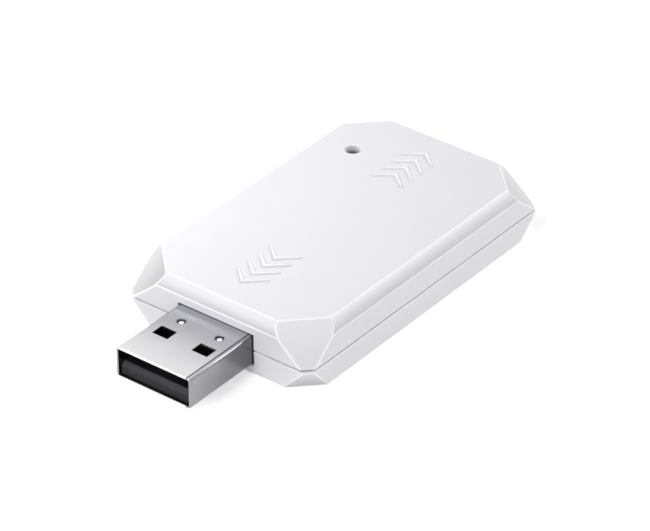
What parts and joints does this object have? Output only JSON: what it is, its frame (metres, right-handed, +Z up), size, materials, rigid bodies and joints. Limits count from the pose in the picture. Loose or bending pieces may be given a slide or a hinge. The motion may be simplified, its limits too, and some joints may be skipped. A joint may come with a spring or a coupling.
{
  "type": "air conditioner wifi stick",
  "caption": "Flat white plug-in network stick: two moulded covers with slanted corners, raised chevrons and a lamp hole, a USB-A plug on the front wall, boards and parts inside.",
  "frame": {"origin": "middle of the housing's flat underside", "axes": "+Z up through the housing, the plug points along -Y, +X to the right seen from the plug's rear"},
  "size_m": [0.03, 0.0623, 0.0091],
  "materials": {
    "cover_plastic": "fine satin, moulded",
    "plug_steel": "tin plated, satin",
    "insulator_plastic": "moulded",
    "contact_gold": "gold plated",
    "board_laminate": "solder mask",
    "module_laminate": "solder mask",
    "chip_mould": "moulded",
    "capacitor_ceramic": "fired",
    "resistor_ceramic": "glazed",
    "tantalum_mould": "moulded",
    "can_metal": "tin plated",
    "lamp_lens": "clear resin over white",
    "trace_copper": "gold plated copper"
  },
  "bodies": {
    "root": {"bottom_cover": "cover_plastic", "bulk_capacitor": "tantalum_mould", "chip_capacitor_1": "capacitor_ceramic", "chip_capacitor_2": "capacitor_ceramic", "chip_capacitor_3": "capacitor_ceramic", "chip_capacitor_4": "capacitor_ceramic", "chip_resistor_1": "resistor_ceramic", "chip_resistor_2": "resistor_ceramic", "chip_resistor_3": "resistor_ceramic", "chip_resistor_4": "resistor_ceramic", "crystal_load_capacitor_1": "capacitor_ceramic", "crystal_load_capacitor_2": "capacitor_ceramic", "esd_diode": "chip_mould", "ferrite_bead": "resistor_ceramic", "interface_chip": "chip_mould", "interface_crystal": "can_metal", "led_resistor": "resistor_ceramic", "main_board": "board_laminate", "plug_contact_data_minus": "contact_gold", "plug_contact_data_plus": "contact_gold", "plug_contact_ground": "contact_gold", "plug_contact_power": "contact_gold", "plug_insulator": "insulator_plastic", "plug_shell": "plug_steel", "radio_antenna_trace": "trace_copper", "radio_capacitor_1": "capacitor_ceramic", "radio_capacitor_2": "capacitor_ceramic", "radio_chip": "chip_mould", "radio_crystal": "can_metal", "radio_flash_chip": "chip_mould", "radio_module_board": "module_laminate", "radio_shield_can": "can_metal", "regulator_input_capacitor": "tantalum_mould", "regulator_output_capacitor": "tantalum_mould", "resettable_fuse": "resistor_ceramic", "status_led": "lamp_lens", "top_cover": "cover_plastic", "voltage_regulator": "chip_mould"}
  },
  "joints": []
}
